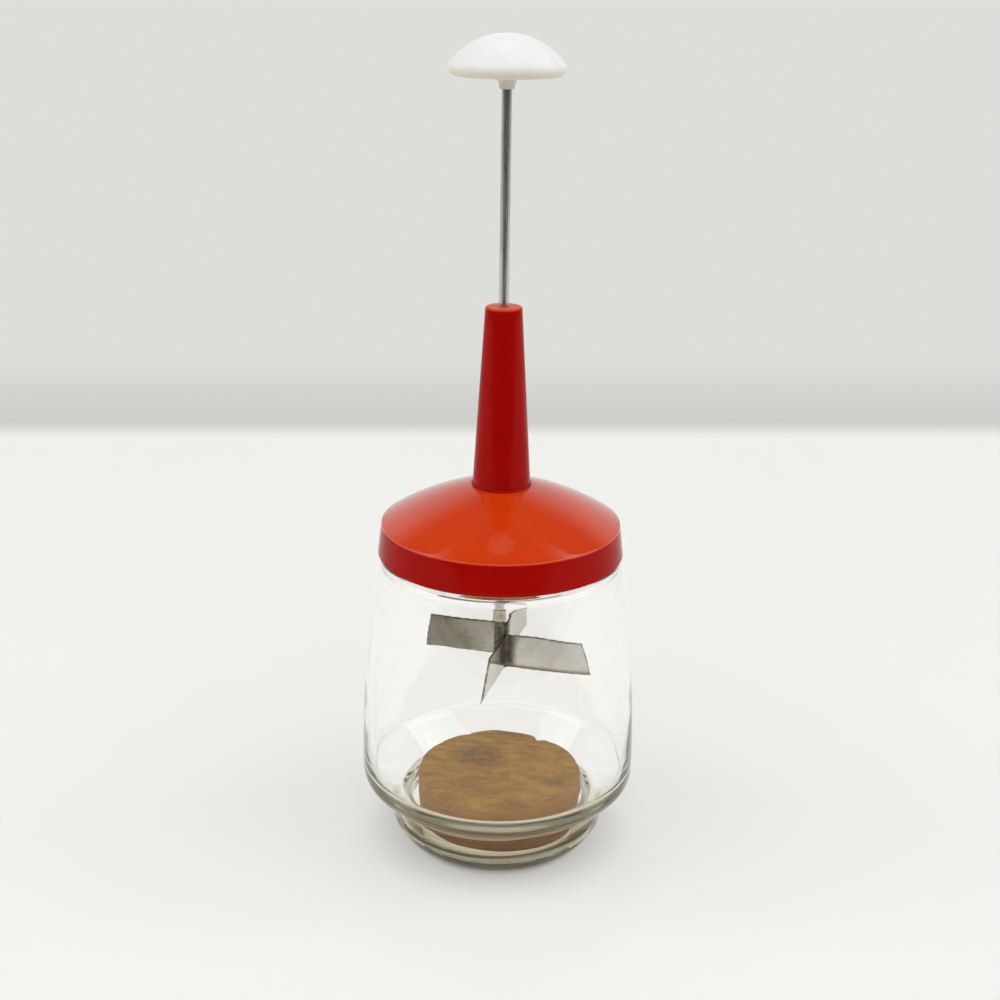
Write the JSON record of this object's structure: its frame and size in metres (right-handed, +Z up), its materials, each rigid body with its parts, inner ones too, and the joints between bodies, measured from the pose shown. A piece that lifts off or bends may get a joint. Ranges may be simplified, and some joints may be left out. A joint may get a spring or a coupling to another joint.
{
  "type": "food chopper",
  "caption": "Hand-pressed food chopper: footed glass jar with a wooden chopping disc, a cone-topped screw lid with a tapered spring tower, and a sprung knobbed plunger carrying a cross of blades.",
  "frame": {"origin": "centre of the jar's foot ring, on the surface that the jar stands on", "axes": "+Z up along the plunger; -Y towards the side that the picture shows"},
  "size_m": [0.0888, 0.0888, 0.2566],
  "materials": {
    "clear_glass": "clear pressed glass",
    "worn_wood": "bare hardwood with knife marks",
    "red_plastic": "glossy orange-red moulding",
    "natural_plastic": "undyed moulding",
    "spring_steel": "drawn wire and blanked strip",
    "plain_steel": "plain turned steel",
    "rod_steel": "polished round bar",
    "white_plastic": "glossy warm white moulding",
    "blade_steel": "rolled stainless strip"
  },
  "bodies": {
    "jar_body": {"jar": "clear_glass", "chopping_disc": "worn_wood"},
    "lid_body": {"lid": "red_plastic", "tower": "red_plastic", "guide_plug": "natural_plastic", "return_spring": "spring_steel"},
    "follower_body": {"spring_follower": "plain_steel"},
    "plunger_body": {"plunger_rod": "rod_steel", "knob": "white_plastic", "retaining_clip": "spring_steel", "blade_collar": "plain_steel", "front_blade": "blade_steel", "rear_blade": "blade_steel"}
  },
  "joints": [
    {"name": "lid_lift", "type": "slide", "parent": "jar_body", "child": "lid_body", "axis": [0, 0, 1], "range_m": [0, 0.1]},
    {"name": "plunger_press", "type": "slide", "parent": "lid_body", "child": "follower_body", "axis": [0, 0, -1], "range_m": [0, 0.0375], "stiffness_N_per_m": 150, "springref_m": -0.02, "deforming": ["return_spring"]},
    {"name": "plunger_turn", "type": "hinge", "parent": "follower_body", "child": "plunger_body", "pos_m": [0, 0, 0.1738], "axis": [0, 0, 1], "continuous": true}
  ]
}
